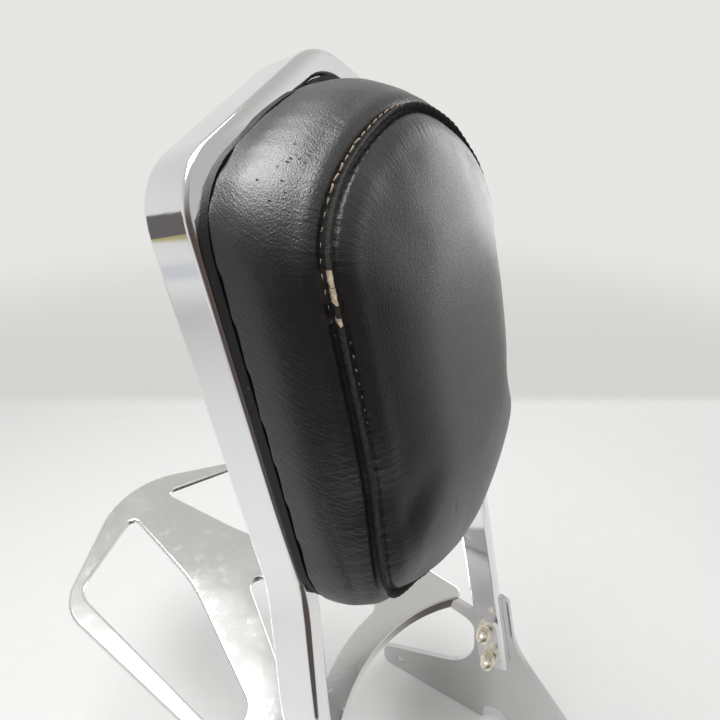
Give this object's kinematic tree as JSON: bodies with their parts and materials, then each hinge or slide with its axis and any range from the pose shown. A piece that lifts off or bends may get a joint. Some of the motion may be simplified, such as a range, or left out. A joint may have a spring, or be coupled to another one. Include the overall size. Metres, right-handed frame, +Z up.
{
  "type": "sissy bar",
  "caption": "Motorcycle backrest: a chromed hoop bar with a stitched leather pad, bolted with an openwork luggage rack to side plates that mount on the fender struts.",
  "frame": {"origin": "on the floor under the side plates' feet, at the centre of the outline seen from above", "axes": "+Z up, +Y to the rear of the motorcycle (the rack's end), +X to the rider's right"},
  "size_m": [0.2898, 0.5257, 0.6985],
  "materials": {
    "chrome_bar": "polished",
    "bolt_chrome": "polished",
    "strap_paint": "satin",
    "pan_plastic": "matte",
    "pad_leather": "satin",
    "screw_steel": "satin",
    "insert_brass": "satin"
  },
  "bodies": {
    "root": {"hoop_bar": "chrome_bar", "luggage_rack": "chrome_bar", "side_plate_left": "chrome_bar", "side_plate_right": "chrome_bar", "pad_strap_lower": "strap_paint", "pad_strap_upper": "strap_paint", "pad_pan": "pan_plastic", "pad_cushion": "pad_leather", "pad_washer_lower_left": "screw_steel", "pad_screw_lower_left": "screw_steel", "pad_insert_lower_left": "insert_brass", "clamp_bolt_lower_left": "bolt_chrome", "cap_nut_lower_left": "bolt_chrome", "clamp_washer_outer_lower_left": "bolt_chrome", "clamp_washer_inner_lower_left": "bolt_chrome", "pad_washer_upper_left": "screw_steel", "pad_screw_upper_left": "screw_steel", "pad_insert_upper_left": "insert_brass", "clamp_bolt_upper_left": "bolt_chrome", "cap_nut_upper_left": "bolt_chrome", "clamp_washer_outer_upper_left": "bolt_chrome", "clamp_washer_inner_upper_left": "bolt_chrome", "pad_washer_lower_right": "screw_steel", "pad_screw_lower_right": "screw_steel", "pad_insert_lower_right": "insert_brass", "clamp_bolt_lower_right": "bolt_chrome", "cap_nut_lower_right": "bolt_chrome", "clamp_washer_outer_lower_right": "bolt_chrome", "clamp_washer_inner_lower_right": "bolt_chrome", "pad_washer_upper_right": "screw_steel", "pad_screw_upper_right": "screw_steel", "pad_insert_upper_right": "insert_brass", "clamp_bolt_upper_right": "bolt_chrome", "cap_nut_upper_right": "bolt_chrome", "clamp_washer_outer_upper_right": "bolt_chrome", "clamp_washer_inner_upper_right": "bolt_chrome"}
  },
  "joints": []
}
